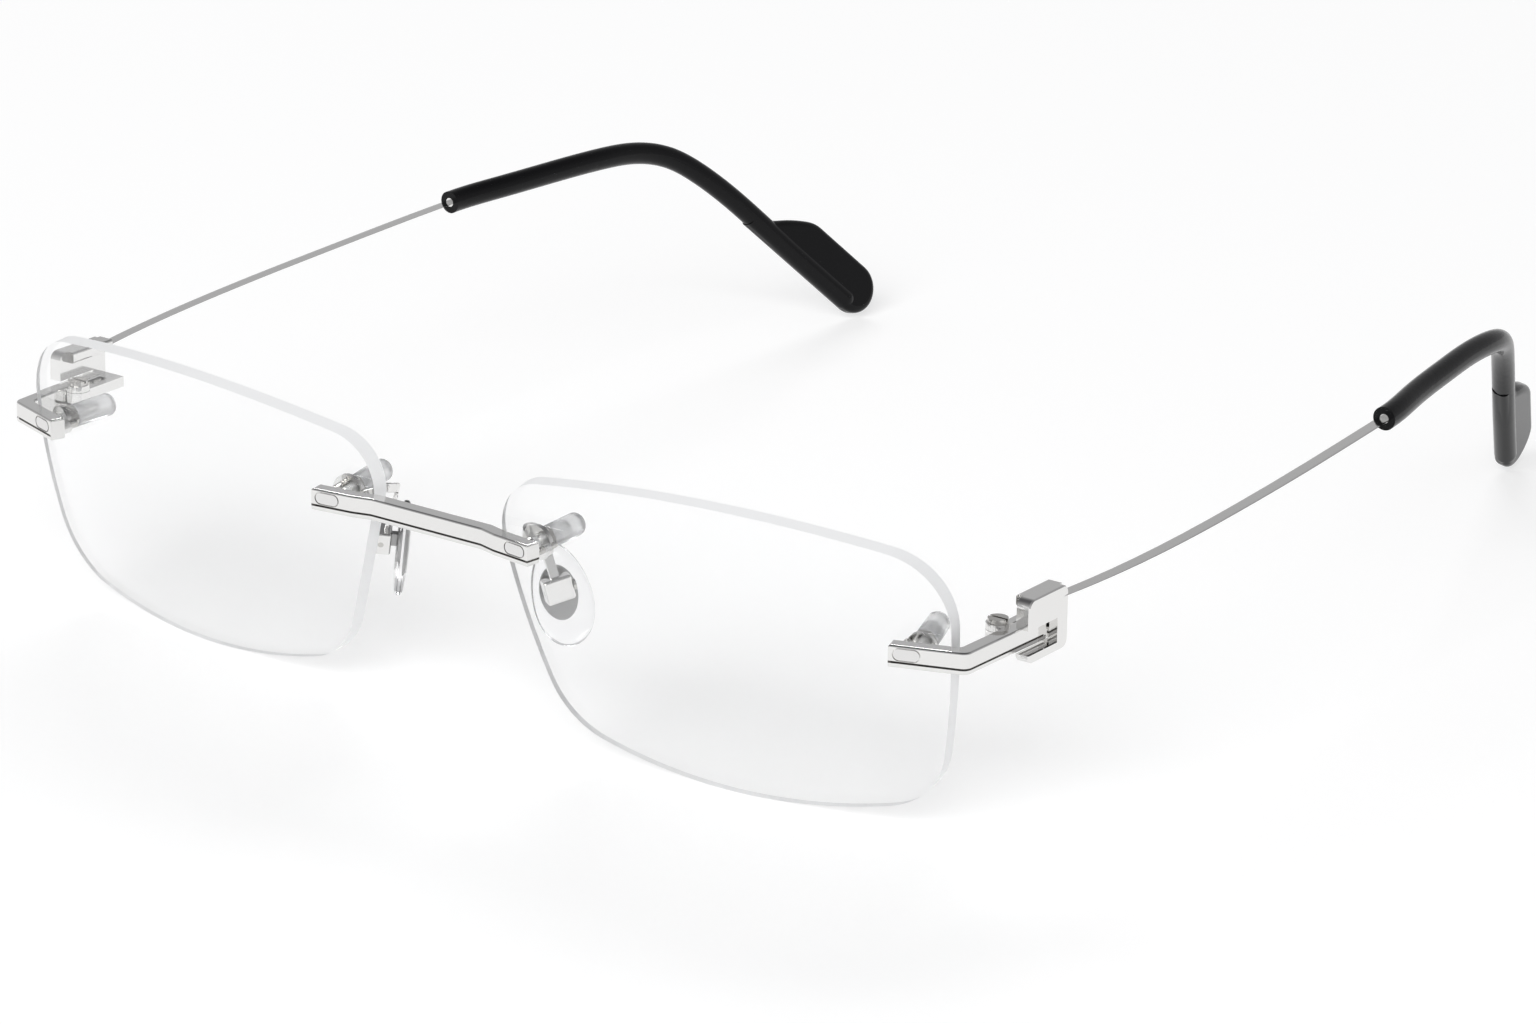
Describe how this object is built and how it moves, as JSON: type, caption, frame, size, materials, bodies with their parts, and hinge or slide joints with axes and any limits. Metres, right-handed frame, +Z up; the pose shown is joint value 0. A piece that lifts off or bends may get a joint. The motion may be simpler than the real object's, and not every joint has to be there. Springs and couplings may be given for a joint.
{
  "type": "rimless eyeglasses",
  "caption": "Rimless eyeglasses with drilled clear lenses, a grooved metal bridge, angled end pieces, slim folding temples, black ear tips and rocking nose pads.",
  "frame": {"origin": "on the ground under the middle of the bridge, level with the front of the bridge's ends", "axes": "+X towards the wearer's left, +Y backwards along the temples, +Z up; the glasses stand open on the lenses' lower edges and the ear tips"},
  "size_m": [0.1372, 0.1531, 0.0332],
  "materials": {
    "polished_metal": "polished",
    "inlay_metal": "polished",
    "screw_metal": "polished",
    "pad_core_metal": "satin",
    "lens_clear": "clear, polished",
    "clear_cap": "clear plastic",
    "clear_pad": "clear soft silicone",
    "tip_black": "glossy"
  },
  "bodies": {
    "front": {"bridge_bar": "polished_metal", "bridge_inlays": "inlay_metal", "bridge_studs": "screw_metal", "bridge_pegs": "screw_metal", "bridge_spacers": "polished_metal", "bridge_nuts": "screw_metal", "bridge_caps": "clear_cap", "end_piece_studs": "screw_metal", "end_piece_pegs": "screw_metal", "end_piece_spacers": "polished_metal", "end_piece_nuts": "screw_metal", "end_piece_caps": "clear_cap", "end_piece_washers": "polished_metal", "left_lens": "lens_clear", "left_pad_arm": "polished_metal", "left_pad_screw": "screw_metal", "left_end_piece": "polished_metal", "left_end_inlay": "inlay_metal", "left_hinge_screw": "screw_metal", "right_lens": "lens_clear", "right_pad_arm": "polished_metal", "right_pad_screw": "screw_metal", "right_end_piece": "polished_metal", "right_end_inlay": "inlay_metal", "right_hinge_screw": "screw_metal"},
    "left_temple": {"left_hinge_block": "polished_metal", "left_temple_arm": "polished_metal", "left_temple_tip": "tip_black"},
    "left_pad": {"left_pad_core": "pad_core_metal", "left_nose_pad": "clear_pad"},
    "right_temple": {"right_hinge_block": "polished_metal", "right_temple_arm": "polished_metal", "right_temple_tip": "tip_black"},
    "right_pad": {"right_pad_core": "pad_core_metal", "right_nose_pad": "clear_pad"}
  },
  "joints": [
    {"name": "left_temple_fold", "type": "hinge", "parent": "front", "child": "left_temple", "pos_m": [0.0629, 0.0174, 0.02115], "axis": [0, 0, 1], "range_deg": [0, 85.5]},
    {"name": "right_temple_fold", "type": "hinge", "parent": "front", "child": "right_temple", "pos_m": [-0.0629, 0.0174, 0.02115], "axis": [0, 0, -1], "range_deg": [0, 75]},
    {"name": "left_pad_rock", "type": "hinge", "parent": "front", "child": "left_pad", "pos_m": [0.01255, 0.0093, 0.01725], "axis": [0.5712, 0.7862, 0.2359], "range_deg": [-9, 4]},
    {"name": "right_pad_rock", "type": "hinge", "parent": "front", "child": "right_pad", "pos_m": [-0.01255, 0.0093, 0.01725], "axis": [0.5712, -0.7862, -0.2359], "range_deg": [-9, 4]}
  ]
}
